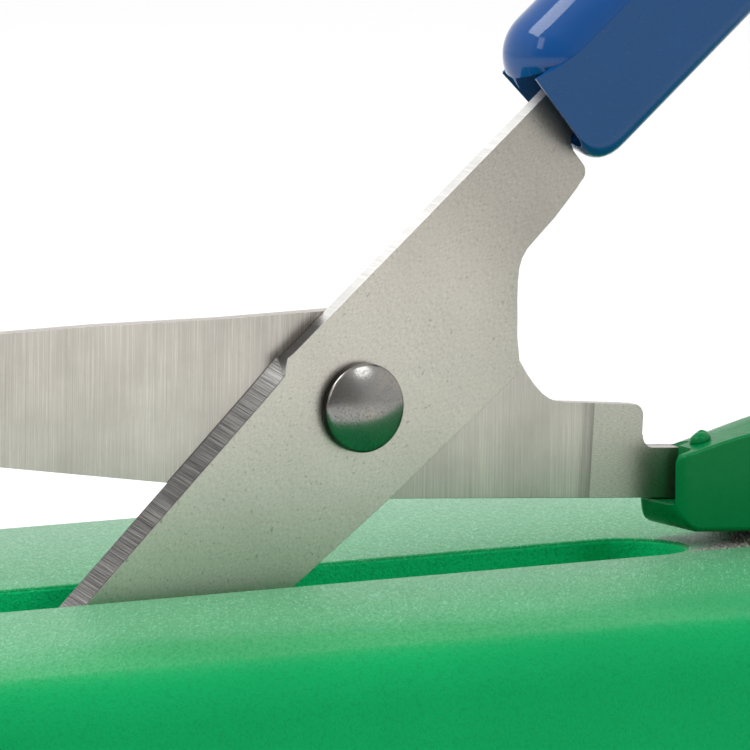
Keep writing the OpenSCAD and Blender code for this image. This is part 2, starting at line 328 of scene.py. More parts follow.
def raw_steel(name, tilt, stops):
    """Stamped, tumbled sheet steel: fine grain along the blade, with small pits."""
    color = (0.590, 0.552, 0.495)
    m = Mat(name, color, 0.36, 1.0)
    origin = tuple(PIVOT)
    along = m.coords(origin, tilt, (0.9, 1, 4.5))
    even = m.coords(origin, tilt)
    grain = m.noise(along, 3.0, 4, 0.7)
    pits = m.noise(even, 2.6, 2, 0.5)
    cloud = m.noise(even, 0.10, 3, 0.5)
    pit_mask = m.ramp(pits, (0.66, 0.0), (0.74, 1.0))
    tone = m.ramp(cloud, (0.3, tuple(c * 0.94 for c in color)), (0.7, tuple(c * 1.05 for c in color)))
    # The stops scale the tone along the blade; on the moving blade they are painted reflection and shade.
    tone = m.mix(tone, m.along(even, BLADE_FROM, BLADE_TO, *stops), 1.0, "MULTIPLY")
    grained = m.mix(tone, m.ramp(grain, (0.38, 0.70), (0.5, 1.0), (0.62, 1.18)), 0.8, "MULTIPLY")
    m.use("Base Color", m.mix(grained, tuple(c * 0.45 for c in color), m.math("MULTIPLY", pit_mask, 0.6)))
    m.use("Roughness", m.ramp(grain, (0.3, 0.32), (0.7, 0.44)))
    height = m.math("SUBTRACT", m.math("MULTIPLY", grain, 0.5), pit_mask)
    m.use("Normal", m.bump(height, 0.012, 0.5))
    return m.mat


def ground_steel(name, tilt, pitch, contrast, stops, roughness=0.30, color=(0.545, 0.508, 0.462), lean=3.0):
    """Steel ground across the blade: fine lines square to its length, with deeper odd ones.
    Stops are (distance along the blade, brightness)."""
    m = Mat(name, color, roughness, 1.0)
    origin = tuple(PIVOT)
    fine = m.noise(m.coords(origin, tilt + lean, (1 / pitch, 0.15, 0.08)), 1.0, 5, 0.78)
    deep = m.noise(m.coords(origin, tilt + lean, (0.45 / pitch, 0.08, 0.02)), 1.0, 2, 0.6)
    soft = m.noise(m.coords(origin, tilt + lean, (0.12, 0.05, 0.03)), 1.0, 2, 0.5)
    patchy = m.noise(m.coords(origin, tilt), 0.22, 3, 0.6)
    deep_mask = m.ramp(deep, (0.56, 0.0), (0.66, 1.0))
    lines = m.ramp(fine, (0.38, 1 - contrast), (0.5, 0.92), (0.61, 1 + contrast * 1.3))
    tone = m.ramp(soft, (0.35, tuple(c * 0.92 for c in color)), (0.65, tuple(c * 1.06 for c in color)))
    tone = m.mix(tone, m.ramp(patchy, (0.3, 0.90), (0.7, 1.06)), 0.8, "MULTIPLY")
    # Stops scale the tone along the blade: painted shade and reflection, plus the ground finish's own dark
    # end line.
    shade = m.along(m.coords(origin, tilt), BLADE_FROM, BLADE_TO, *stops)
    tone = m.mix(tone, shade, 1.0, "MULTIPLY")
    base = m.mix(tone, lines, 1.0, "MULTIPLY")
    dark = m.mix(base, (0.35, 0.34, 0.33), 1.0, "MULTIPLY")
    m.use("Base Color", m.mix(base, dark, m.math("MULTIPLY", deep_mask, min(contrast * 1.3, 0.9))))
    m.use("Roughness", m.ramp(fine, (0.3, roughness - 0.06), (0.7, roughness + 0.10)))
    m.use("Normal", m.bump(fine, 0.014, 0.6))
    return m.mat


def plain_metal(name, color, roughness, scratch=0.3):
    """Small turned or plated metal parts."""
    m = Mat(name, color, roughness, 1.0)
    p = m.coords(tuple(PIVOT))
    stain = m.noise(p, 0.55, 4, 0.6)
    fine = m.noise(p, 6.0, 3, 0.7)
    m.use("Base Color", m.mix(color, tuple(c * (1 - scratch) for c in color),
                              m.ramp(stain, (0.42, 0.0), (0.72, 1.0))))
    m.use("Roughness", m.ramp(fine, (0.3, roughness * 0.8), (0.75, roughness * 1.35)))
    m.use("Normal", m.bump(fine, 0.006, 0.4))
    return m.mat


def rubber(name):
    m = Mat(name, (0.022, 0.022, 0.022), 0.72)
    p = m.coords()
    grain = m.noise(p, 3.0, 3, 0.6)
    m.use("Base Color", m.ramp(grain, (0.3, 0.016), (0.8, 0.034)))
    m.use("Roughness", m.ramp(grain, (0.3, 0.62), (0.7, 0.82)))
    m.use("Normal", m.bump(grain, 0.03, 0.6))
    return m.mat


def rivet_steel(name):
    """Polished steel with fine pitting and a faint warm stain."""
    tone = (0.24, 0.235, 0.225)
    m = Mat(name, tone, 0.2, metallic=1.0)
    p = m.coords()
    grain = m.noise(p, 5.0, 3, 0.7)
    stain = m.ramp(m.noise(p, 0.45, 3, 0.6), (0.45, 0.0), (0.65, 0.40))
    color = m.mix(tone, (0.34, 0.30, 0.25), stain)
    m.use("Base Color", m.mix(color, (0.13, 0.125, 0.12), m.ramp(grain, (0.5, 0.0), (0.66, 0.5))))
    m.use("Roughness", m.ramp(grain, (0.35, 0.14), (0.65, 0.28)))
    m.use("Normal", m.bump(grain, 0.0055, 0.9))
    return m.mat


BEVEL_TONE = (0.052, 0.051, 0.049)
GREEN = (0.0, 0.300, 0.086)
# A lighter green painted on the slot's shaded walls as painted light.
SLOT_LIT_GREEN = (0.0, 0.62, 0.20)


def inside(m, value, low, high):
    """One where a value lies between two limits."""
    return m.math("MULTIPLY", m.math("GREATER_THAN", value, low), m.math("LESS_THAN", value, high))


def shadow_wedge_mask(m, vector, grain):
    """One on a wedge beside the fixed handle's mouth, where a contact shadow is painted, and nought
    elsewhere.
    """
    x, y, z = m.axes(vector)
    ragged = m.math("MULTIPLY", m.math("SUBTRACT", grain, 0.5), 3.0)
    reach = m.math("ADD", m.math("MULTIPLY", m.math("SUBTRACT", x, 31.6), 0.60), ragged)
    past = m.ramp(m.math("SUBTRACT", reach, m.math("ADD", y, 5.5)), (0.0, 0.0), (0.5, 1.0))
    area = m.math("MULTIPLY", inside(m, x, 31.5, 50.0), inside(m, y, -5.6, 3.5))
    return m.math("MULTIPLY", m.math("MULTIPLY", past, area), m.math("GREATER_THAN", z, TOP - 0.2))


def slot_light_mask(m, vector):
    """One on the walls of the slot, which are painted a lighter green as painted light."""
    x, y, z = m.axes(vector)
    half = SLOT_HALF + 0.3
    section = m.math("MULTIPLY", inside(m, y, -half, half), inside(m, z, -28.0, TOP - 0.25))
    return m.math("MULTIPLY", section, inside(m, x, SLOT_FROM - 10, 60.0))


def base_plastic(name):
    """Satin green plastic with a spark-eroded texture, a painted contact shadow beside the handle's mouth,
    painted glints, painted light on the slot walls and a painted sheen.
    """
    m = Mat(name, GREEN, 0.36, Specular_IOR_Level=0.06, Sheen_Weight=0.40, Sheen_Roughness=0.28)
    p = m.coords(tuple(PIVOT))
    # Painted sheen: none at the near shoulder, rising towards the far side; it also scales the painted
    # glints.
    drift = m.math("MULTIPLY", m.math("SUBTRACT", m.noise(p, 0.045, 2, 0.5), 0.5), 0.22)
    from_near = m.math("DIVIDE", m.math("ADD", m.axes(p)[1], BASE_HALF_W), 2 * BASE_HALF_W)
    place_y = m.math("ADD", from_near, drift)
    painted_sheen = m.ramp(place_y, (0.03, 0.0), (0.10, 0.12), (0.19, 0.75), (0.30, 0.95), (0.44, 1.0), (0.56, 1.0))
    pulled = m.coords(tuple(PIVOT), 0.0, (3.6, 0.6, 3.6), -31.0)
    fine = m.noise(pulled, 1.0, 3, 0.7)
    speck = m.noise(pulled, 1.5, 2, 0.6)
    broad = m.noise(p, 0.05, 2, 0.5)
    shade = m.ramp(broad, (0.3, tuple(c * 0.94 for c in GREEN)), (0.7, tuple(c * 1.05 for c in GREEN)))
    # Painted light: the slot walls take a lighter green.
    shade = m.mix(shade, SLOT_LIT_GREEN, slot_light_mask(m, p))
    grained = m.mix(shade, tuple(c * 0.7 for c in GREEN), m.ramp(fine, (0.5, 0.0), (0.64, 0.40)))
    # Painted glints: light green specks, strongest on faces that look upward.
    facing = m.node("NewGeometry")
    upward = m.math("MAXIMUM", m.axes(facing.outputs["Normal"])[2], 0.06)
    painted_glints = m.math("MULTIPLY", m.ramp(speck, (0.56, 0.0), (0.68, 0.75)), upward)
    painted_glints = m.math("MULTIPLY", painted_glints, painted_sheen)
    light = m.mix(grained, (0.16, 0.58, 0.30), painted_glints)
    # Painted contact shadow: grey-brown with light specks, on the wedge beside the handle's mouth.
    shadow_grain = m.noise(pulled, 1.25, 3, 0.8)
    painted_shadow = m.ramp(shadow_grain, (0.42, (0.025, 0.022, 0.016)), (0.5, (0.12, 0.12, 0.09)),
                  (0.58, (0.42, 0.42, 0.35)))
    m.use("Base Color", m.mix(light, painted_shadow, m.math("MULTIPLY", shadow_wedge_mask(m, p, shadow_grain), 0.95)))
    # The sheen weight follows the painted sheen and is raised further on the far side.
    far_side = m.ramp(place_y, (0.5, 0.40), (0.62, 0.95))
    m.use("Sheen Weight", m.math("MULTIPLY", painted_sheen, far_side))
    m.use("Roughness", m.ramp(fine, (0.3, 0.30), (0.7, 0.46)))
    m.use("Normal", m.bump(fine, 0.12, 1.0))
    return m.mat


BASE_MAT = base_plastic("base_plastic")
COVER_MAT = spark_plastic("cover_plastic", (0.01, 0.17, 0.06), 0.5)
HANDLE_MAT = spark_plastic("green_plastic", (0.0, 0.185, 0.050), 0.26, grain=1.1, depth=0.012, speck=0.12)
# The body and the cover are one blue plastic; the cover's bluer base colour is painted, standing in for the
# saturated look its darker reflections give.
BLUE_MAT = smooth_plastic("blue_body_plastic", (0.003, 0.058, 0.185), 0.22)
BLUE_GLOSS = smooth_plastic("blue_gloss_plastic", (0.002, 0.058, 0.220), 0.07, coat=0.15)
# Painted reflection and shade: the moving blade's steel is painted brighter towards the tip and darker
# towards the handle.
MOVING_RAW = raw_steel("moving_blade_raw", OPEN_TILT, (
    (-75, 1.12), (-30, 1.08), (6, 0.95), (14, 0.86), (22, 0.68), (34, 0.60)))
FIXED_RAW = raw_steel("fixed_blade_raw", FIXED_TILT, ((20, 0.88), (34, 0.84)))
# Painted shade: the ground face dips darker near the pivot where the blades cross; the sharp dark steps near
# 25 mm are the ground finish's own end line.
FIXED_GROUND = ground_steel("fixed_blade_ground", FIXED_TILT, 0.13, 0.13, (
    (-75, 1.0), (-12, 1.0), (-4, 0.86), (14, 0.92), (24.4, 0.93), (24.8, 0.55), (25.2, 0.75), (25.7, 0.45)))
# Partly painted reflection, partly the grind's own tone: the bevels are painted brighter near the tip and
# the heel and darker in the middle.
BEVEL_STOPS = ((-75, 2.4), (-50, 2.1), (-38, 1.75), (-26, 1.05), (-14, 0.9), (-7, 1.5), (-3, 2.4))
BEVEL_FINISH = {"pitch": 0.065, "contrast": 0.72, "stops": BEVEL_STOPS, "color": BEVEL_TONE, "lean": 5.0}
BEVEL_GROUND = ground_steel("bevel_ground", OPEN_TILT, **BEVEL_FINISH)
FIXED_BEVEL = ground_steel("fixed_bevel_ground", FIXED_TILT, **BEVEL_FINISH)
# Painted reflection on the moving blade's tang edge face: a light steel where it reflects the bright
# surroundings, painted dark near the pivot where the fixed blade lies behind it.
MOVING_BAND_REFLECTION = ground_steel("moving_blade_band_reflection", OPEN_TILT, 0.2, 0.07, (
    (-4, 0.20), (1.6, 0.26), (2.9, 1.0), (34, 1.0)), roughness=0.34, color=(0.86, 0.85, 0.82), lean=0.0)
RIVET_MAT = rivet_steel("rivet_steel")
# Painted shade: a near-black steel on the side wall of the rivet head, which lies in shade.
RIVET_SIDE_SHADE = plain_metal("rivet_side_painted_shade", (0.035, 0.033, 0.031), 0.3, 0.3)
SCREW_MAT = plain_metal("screw_steel", (0.62, 0.62, 0.63), 0.28, 0.2)
SPRING_MAT = plain_metal("spring_steel", (0.46, 0.46, 0.48), 0.24, 0.3)
BUSH_MAT = smooth_plastic("bush_plastic", (0.02, 0.02, 0.02), 0.4)
RUBBER_MAT = rubber("rubber")


# ---------------------------------------------------------------- base

def plan_ring(x0, x1, half, r, z, arc_steps=10, long_steps=24):
    """A rounded rectangle in plan, X and Z from the pivot; rings made this way join one to one."""
    r = min(r, half - 0.005)
    points = []
    corners = ((x1 - r, half - r, 0), (x0 + r, half - r, 90),
               (x0 + r, -half + r, 180), (x1 - r, -half + r, 270))
    for k, (cx, cy, start) in enumerate(corners):
        points += arc(cx, cy, r, start, start + 90, arc_steps)
        if k % 2 == 0:
            side = cy + (r if k == 0 else -r)
            ends = (x1 - r, x0 + r) if k == 0 else (x0 + r, x1 - r)
            points += [(ends[0] + (ends[1] - ends[0]) * i / long_steps, side) for i in range(1, long_steps)]
    return [(x, y, z) for x, y in points]


def base_ring(inset, z):
    return plan_ring(-BASE_HALF_L - PIVOT.x + inset, BASE_HALF_L - PIVOT.x - inset,
                     BASE_HALF_W - inset, CORNER_R - inset, z)


def slot_ring(grow, z):
    return plan_ring(SLOT_FROM - grow, SLOT_TO + grow, SLOT_HALF + grow, SLOT_HALF + grow, z)


def base_shell():
    """One closed skin: outside, shoulder, top, slot wall, and back inside the walls."""
    lip = 0.45
    rings = [base_ring(WALL, BOTTOM), base_ring(0.5, BOTTOM), base_ring(0.0, BOTTOM + 0.6)]
    rings += [base_ring(0.0, BOTTOM + (TOP - SHOULDER_R - BOTTOM) * k / 4) for k in (1, 2, 3)]
    for i in range(11):
        a = math.radians(90 * i / 10)
        rings.append(base_ring(SHOULDER_R * (1 - math.cos(a)), TOP - SHOULDER_R * (1 - math.sin(a))))
    for i in range(6):
        a = math.radians(90 * i / 5)
        rings.append(slot_ring(lip * (1 - math.sin(a)), TOP - lip * (1 - math.cos(a))))
    rings += [slot_ring(0.0, TOP - 6), slot_ring(0.1, TOP - 12),
              slot_ring(2.2, TOP - 12), slot_ring(2.2, TOP - WALL)]
    inner_r = SHOULDER_R - WALL
    for i in range(6):
        a = math.radians(90 - 90 * i / 5)
        rings.append(base_ring(WALL + inner_r * (1 - math.cos(a)), TOP - WALL - inner_r * (1 - math.sin(a))))
    points, faces = loft(rings, wrap=True)
    return make_mesh("base_body", points, faces, BASE_MAT, 40)


def handle_pad():
    """The low ramp and pad in line with the slot, which carries the fixed handle."""
    from_x, ramp, to_x, high, half, r = 39.0, 6.0, 124.0, 1.6, 5.5, 0.35
    rings = []
    stations = [0, 0.04, 0.3, 0.6, 0.9, 1.0, 1.1]
    xs = [from_x + ramp * s for s in stations] + [80, to_x - 0.6, to_x]
    for x in xs:
        rise = min(max((x - from_x) / ramp, 0.0), 1.0) * high
        rise = rise - 0.5 if x == to_x else rise
        top = TOP + max(rise, 0.02)
        rr = min(r, max(rise, 0.05) * 0.8)
        ring = [(-half, TOP - 0.4), (-half, top - rr)]
        ring += arc(-half + rr, top - rr, rr, 180, 90, 4)[1:]
        ring += arc(half - rr, top - rr, rr, 90, 0, 4)
        ring += [(half, TOP - 0.4)]
        rings.append([(x, y, z) for y, z in ring])
    points, faces = loft(rings)
    return make_mesh("handle_pad", points, faces, BASE_MAT, 40)


place(base_shell(), "base", "base_plastic", "base_shell")
place(handle_pad(), "base", "base_plastic")


# ---------------------------------------------------------------- blades

EDGE_V, TIP_V, TIP_U, HEEL_U = 8.4, 2.5, -74.0, -3.0
GRIND = 0.25
TANG_V, TANG_END = 3.8, 60.0
BEVEL_W = 1.12
GROUND_TO = 25.7


def blade_outline(neck):
    """The stamped outline from the heel along the edge, round the tip and back, as (u, v, on_edge)."""
    out = []
    steps = 40
    for i in range(steps + 1):
        t = i / steps
        u = HEEL_U + (TIP_U - HEEL_U) * t
        out.append((u, EDGE_V + GRIND + (TIP_V - EDGE_V - GRIND) * t, True))
    out += [(u, v, False) for u, v in arc(-72.4, -0.1, 2.6, 105, 265, 10)]
    spine = [(-60, -4.15), (-48, -5.35), (-37, -6.4), (-26, -7.3), (-13.6, -8.0), (-2.4, -8.5)]
    out += [(u, v, False) for u, v in spine]
    lobe = [(6, -8.8), (12.6, -9.0), (13.8, -9.0), (14.3, -8.8), (14.9, -8.1), (16.0, -6.4)] + neck
    out += [(u, v, False) for u, v in lobe]
    out += [(u, v, False) for u, v in arc(29.9, 0.95, 1.1, -75, 0, 5)]
    out += [(31.0, 2.6, False)]
    out += [(u, v, False) for u, v in arc(32.2, 2.7, 1.1, 180, 90, 5)]
    out += [(45, TANG_V, False), (TANG_END, TANG_V, False), (TANG_END, EDGE_V, False), (30, EDGE_V, False),
            (10, EDGE_V, False), (-2.0, EDGE_V, False), (-2.7, EDGE_V + 0.1, False)]
    return out


MOVING_NECK = [(17.1, -5.1), (18.1, -3.85), (19.2, -2.6), (20.1, -1.75), (20.9, -1.25), (21.8, -0.98),
               (23.5, -0.88), (25.7, -0.78), (27.8, -0.5), (29.2, -0.3), (29.8, -0.15)]
FIXED_NECK = [(16.8, -5.0), (17.55, -3.9), (18.4, -2.75), (19.2, -1.85), (20.1, -1.05), (20.8, -0.65),
              (21.4, -0.43), (22.6, -0.3), (26, -0.22), (29.2, -0.15), (29.8, -0.1)]


def shaped(u, v, bend, slim):
    """v after a blade is leaned towards its edge (bend) and narrowed (slim) past the heel."""
    narrowed = v * (1 - slim * min(1.0, max(0.0, (-u - 2) / 12)))
    return narrowed + bend * max(0.0, -u - 6)


def blade(name, neck, bend, slim, tilt, flip, outer, raw, ground, bevel, band, ground_inner):
    """A blade with its bevel on the outer face; outer is -1 or +1 in Y."""
    outline = [(u, shaped(u, v, bend, slim), on_edge) for u, v, on_edge in blade_outline(neck)]
    n = len(outline)
    y_in = -0.05 if outer < 0 else 0.0
    y_out = y_in + outer * BLADE_T
    slope = math.atan2(EDGE_V + GRIND - TIP_V, HEEL_U - TIP_U)
    inner, face = [], []
    for u, v, on_edge in outline:
        inner.append(blade_point(u, y_in, v, tilt, flip))
        if on_edge:
            back = 1.0 if u == HEEL_U else 0.0
            u2 = u + math.sin(slope) * BEVEL_W - back
            v2 = v - math.cos(slope) * BEVEL_W
            face.append(blade_point(u2, y_out, v2, tilt, flip))
        else:
            face.append(blade_point(u, y_out, v, tilt, flip))
    points = inner + face
    faces = [tuple(range(n)), tuple(range(n, 2 * n))]
    for i in range(n):
        j = (i + 1) % n
        faces.append((i, j, n + j, n + i))
    obj = make_mesh(name, points, faces, raw, 20)
    for finish in (bevel, ground, band):
        obj.data.materials.append(finish)
    for poly in obj.data.polygons:
        i = poly.index - 2
        if 0 <= i < n and outline[i][2] and outline[(i + 1) % n][2]:
            poly.material_index = 1
        elif 0 <= i < n and outline[i][1] >= EDGE_V and outline[(i + 1) % n][1] >= EDGE_V:
            poly.material_index = 3
    hole = make_mesh("hole", *loft(lathe([(2.55, -4.0), (2.55, 4.0)], 64)), raw)
    cut(obj, hole)
    if ground_inner:
        split_ground(obj, tilt)
    return obj


def split_ground(obj, tilt):
    """Gives the inner face its ground finish from the tip to a line near the handle."""
    bm = bmesh.new()
    bm.from_mesh(obj.data)
    a = math.radians(tilt)
    along = Vector((math.cos(a), 0, math.sin(a)))
    cut_at = to_world(along * GROUND_TO)
    geom = bm.verts[:] + bm.edges[:] + bm.faces[:]
    bmesh.ops.bisect_plane(bm, geom=geom, plane_co=cut_at, plane_no=along)
    for f in bm.faces:
        facing = f.normal.y < -0.9
        if facing and (f.calc_center_median() - cut_at).dot(along) < 0:
            f.material_index = 2
    bm.to_mesh(obj.data)
    bm.free()


moving = blade("moving_blade_steel", MOVING_NECK, bend=0.027, slim=0.0, tilt=OPEN_TILT, flip=1, outer=-1,
               raw=MOVING_RAW, ground=FIXED_GROUND, bevel=BEVEL_GROUND, band=MOVING_BAND_REFLECTION, ground_inner=False)
soften(moving, 0.07, 2, 50)
place(moving, "lever", "blade_steel", "moving_blade")
fixed = blade("fixed_blade_steel", FIXED_NECK, bend=0.0, slim=0.05, tilt=FIXED_TILT, flip=-1, outer=1,
              raw=FIXED_RAW, ground=FIXED_GROUND, bevel=FIXED_BEVEL, band=FIXED_RAW, ground_inner=True)
soften(fixed, 0.06, 2, 50)
place(fixed, "base", "blade_steel", "fixed_blade")


# ---------------------------------------------------------------- rivet, washer, bush and spring

def rivet():
    face = -BLADE_T - 0.07
    side, dome, r, fillet = 0.95, 0.95, 4.0, 0.22
    profile = [(0.0, face - side - dome)]
    radius = (r * r + dome * dome) / (2 * dome)
    for i in range(1, 15):
        x = (r - fillet) * i / 14
        profile.append((x, face - side - dome + radius - math.sqrt(radius * radius - x * x)))
    y0 = profile[-1][1]
    profile += [(r - 0.08, y0 + 0.10), (r, y0 + 0.26), (r, face - 0.12), (r - 0.1, face)]
    profile += [(2.5, face), (2.5, 5.6), (3.2, 5.6), (3.5, 5.85), (3.4, 6.4), (2.6, 6.65), (0.0, 6.7)]
    points, faces = loft(lathe(profile, 128))
    obj = make_mesh("pivot_rivet_steel", points, faces, RIVET_MAT, 35)
    obj.data.materials.append(RIVET_SIDE_SHADE)
    # The side wall of the head takes the painted shade.
    for poly in obj.data.polygons:
        middle = poly.center / MM - PIVOT
        if face - 0.8 < middle.y < face + 0.01 and math.hypot(middle.x, middle.z) > 3.5:
            poly.material_index = 1
    return obj


def collar(name, inner, outer, low, high, material):
    c = 0.12
    profile = [(inner, low), (outer - c, low), (outer, low + c),
               (outer, high - c), (outer - c, high), (inner, high)]
    points, faces = loft(lathe(profile), wrap=True)
    return make_mesh(name, points, faces, material, 40)


def sweep(path, radius, sides=16):
    """A round wire along a path."""
    rings = []
    up = Vector((0, 1, 0))
    for i, p in enumerate(path):
        ahead = Vector(path[min(i + 1, len(path) - 1)]) - Vector(path[max(i - 1, 0)])
        ahead.normalize()
        side = ahead.cross(up)
        if side.length < 0.1:
            side = ahead.cross(Vector((1, 0, 0)))
        side.normalize()
        over = side.cross(ahead).normalized()
        rings.append([tuple(Vector(p) + radius * (math.cos(2 * math.pi * k / sides) * side
                                                   + math.sin(2 * math.pi * k / sides) * over))
                      for k in range(sides)])
    return loft(rings)


COIL_R, WIRE, COIL_NEAR, COIL_FAR, LEG_END = 4.3, 0.5, 2.75, 4.75, 43.5
LEG_STEPS = (2, 6, 12, 20, 28, 36, LEG_END)


def coil_y(share):
    """Depth of the wire behind the blades at a share of the coil."""
    return COIL_NEAR + (COIL_FAR - COIL_NEAR) * share


def coil(start, end, from_turn, to_turn, turns, steps):
    """Part of the coil, from one share of its turn to another."""
    out = []
    for i in range(steps + 1):
        t = from_turn + (to_turn - from_turn) * i / steps
        a = start + (end - start) * t / turns
        out.append((COIL_R * math.cos(a), coil_y(t / turns), COIL_R * math.sin(a)))
    return out


def spring_wires():
    """The coil with the lower leg, and the first part of the coil with the upper leg."""
    turns = 3.0
    start = math.radians(OPEN_TILT + 90)
    end = math.radians(FIXED_TILT - 90) + 2 * math.pi * turns
    upper = [blade_point(s, COIL_NEAR, COIL_R, OPEN_TILT, 1) for s in reversed(LEG_STEPS)]
    upper += coil(start, end, 0.0, 0.8, turns, 26)
    lower = coil(start, end, 0.75, turns, turns, 74)
    lower += [blade_point(s, coil_y(1 - min(s / 28, 1.0)), COIL_R, FIXED_TILT, -1) for s in LEG_STEPS]
    return (make_mesh("spring_upper_leg", *sweep(upper, WIRE), SPRING_MAT, 60),
            make_mesh("spring_coil", *sweep(lower, WIRE * 0.995), SPRING_MAT, 60))


place(rivet(), "base", "rivet_steel", "pivot_rivet")
place(collar("rivet_washer_steel", 2.52, 5.0, 1.62, 2.2, SCREW_MAT), "base", "screw_steel", "rivet_washer")
place(collar("spring_bush_moulding", 2.52, 3.3, 2.2, 5.6, BUSH_MAT), "base", "bush_plastic", "spring_bush")
upper_leg, coil_piece = spring_wires()
place(upper_leg, "lever", "spring_steel")
place(coil_piece, "base", "spring_steel", "return_spring")


# ---------------------------------------------------------------- push handle

PUSH_FRONT, PUSH_LOW, PUSH_SPLIT, PUSH_HIGH, PUSH_LEN = 31.0, 0.2, 10.4, 14.47, 96.0
SKIN = 1.3
PUSH_SCREWS = (65, 84)


def lever_point(u, y, v):
    return blade_point(u, y, v, OPEN_TILT, 1)


def channel_section(u, low, split, half, floor):
    """A U-shaped section of the push handle at u: thin at the mouth, set back on the far side."""
    r = min(1.9, (split - low) * 0.3)
    depth = min(max((u - PUSH_FRONT) / 3.5, 0.0), 1.0)
    skin = 0.25 + (SKIN - 0.25) * depth
    ring = [(-half, split), (-half, low + r)]
    ring += arc(-half + r, low + r, r, 180, 270, 8)[1:]
    ring += arc(half - r, low + r, r, 270, 360, 8)
    far_split = min(split, 10.1 + 0.3 * min(max((u - PUSH_FRONT) / 6, 0.0), 1.0))
    ring += [(half, far_split), (half - skin, far_split), (half - skin, floor + 1.3)]
    ring += arc(half - skin - 1.2, floor + 1.2, 1.2, 0, -90, 5)
    ring += arc(-half + skin + 1.2, floor + 1.2, 1.2, -90, -180, 5)
    ring += [(-half + skin, split)]
    fade = max(0.0, 1 - (u - PUSH_FRONT) / 9)
    return [lever_point(u + (set_back(y, half) - 0.14 * max(0.0, v - 6) * max(0.0, y / half)) * fade, y, v)
            for y, v in ring]


def set_back(y, half):
    """How far the mouth recedes on its far side."""
    t = min(max((y + 0.5 * half) / (1.5 * half), 0.0), 1.0)
    corner = max(0.0, (y - half + 2.0) / 2.0)
    return 1.5 * t + 0.6 * corner ** 2.5


def push_low(u):
    """Underside of the push handle, curving up to its front edge."""
    reach = 3.6
    t = max(0.0, (PUSH_FRONT + reach - u) / reach)
    return PUSH_LOW + 2.7 * (1 - math.sqrt(max(0.0, 1 - t ** 2.4)))


def push_split(u):
    """Joint between the body and its domed cover."""
    return PUSH_SPLIT + 1.25 * max(0.0, (36.5 - u) / 5.6) ** 1.6


def bore(u, r, low, high):
    """A round cutter for the screw holes in the underside of the lever."""
    rings = [[lever_point(u + x, y, v) for x, y in arc(0, 0, r, 0, 352.5, 47)] for v in (low, high)]
    return make_mesh("bore", *loft(rings), BLUE_MAT)


def push_body():
    stations = [30.95, 31.0, 31.1, 31.25, 31.5, 31.9, 32.4, 33.0, 33.8, 34.8, 36.0, 37.5,
                42, 60, 80, PUSH_LEN]
    rings = [channel_section(u, push_low(u), push_split(u), HANDLE_HALF, max(1.8, push_low(u) + 0.3))
             for u in stations]
    points, faces = loft(rings)
    obj = make_mesh("push_handle_moulding", points, faces, BLUE_MAT, 35)
    cut(obj, *[bore(u, 3.1, PUSH_LOW - 1, PUSH_LOW + 1.2) for u in PUSH_SCREWS])
    crisp(obj, 35)
    return obj


def push_dome():
    """Half-round cover with a ball nose."""
    r = HANDLE_HALF
    centre = PUSH_HIGH - r
    nose = PUSH_FRONT + r
    angles = [math.radians(90 * k / 12) for k in range(13)]
    stations = [(nose - r * math.cos(a), max(r * math.sin(a), 0.02)) for a in angles]
    stations += [(u, r) for u in (40, 50, 60, 70, 80, 90, PUSH_LEN)]
    rings = []
    for u, rr in stations:
        low = PUSH_SPLIT - 0.05 + 0.8 * max(0.0, (36.0 - u) / 5.0)
        low_angle = math.degrees(math.asin(max(-0.98, min(0.98, (low - centre) / rr))))
        ring = arc(0, centre, rr, low_angle, 180 - low_angle, 28)
        rings.append([lever_point(u, y, v) for y, v in ring])
    points, faces = loft(rings)
    return make_mesh("push_handle_cover", points, faces, BLUE_GLOSS, 50)


place(push_body(), "lever", "blue_body_plastic", "push_handle_body")
place(push_dome(), "lever", "blue_gloss_plastic", "push_handle_top")


# ---------------------------------------------------------------- fixed handle

def between(x, table):
    """Straight-line reading of a table of (x, value)."""
    if x <= table[0][0]:
        return table[0][1]
    for (x0, v0), (x1, v1) in zip(table, table[1:]):
        if x <= x1:
            return v0 + (v1 - v0) * (x - x0) / (x1 - x0)
    return table[-1][1]


HANDLE_BOTTOM = ((31.2, -10.9), (31.5, -11.9), (32.2, -12.8), (33.4, -13.35), (42, -13.85), (44, -13.6),
                 (118, -13.3), (120.5, -12.6), (122, -10.2))
HANDLE_NEAR = ((31.2, -6.9), (31.7, -6.35), (32.3, -6.12), (38.7, -4.85), (46, -3.7), (55, -2.9),
               (118, -7.2), (121, -8.1), (122, -9.6))
HANDLE_CREST = ((31.2, -6.5), (33.9, -5.92), (41.8, -3.98), (46, -3.05), (51, -2.25), (55, -2.0),
                (118, -6.3), (121, -7.2), (122, -9.3))
HANDLE_FAR_DROP = ((31.2, 0.3), (34, 1.25), (38, 1.55), (48, 1.5), (60, 1.1))
HANDLE_TAIL = 118


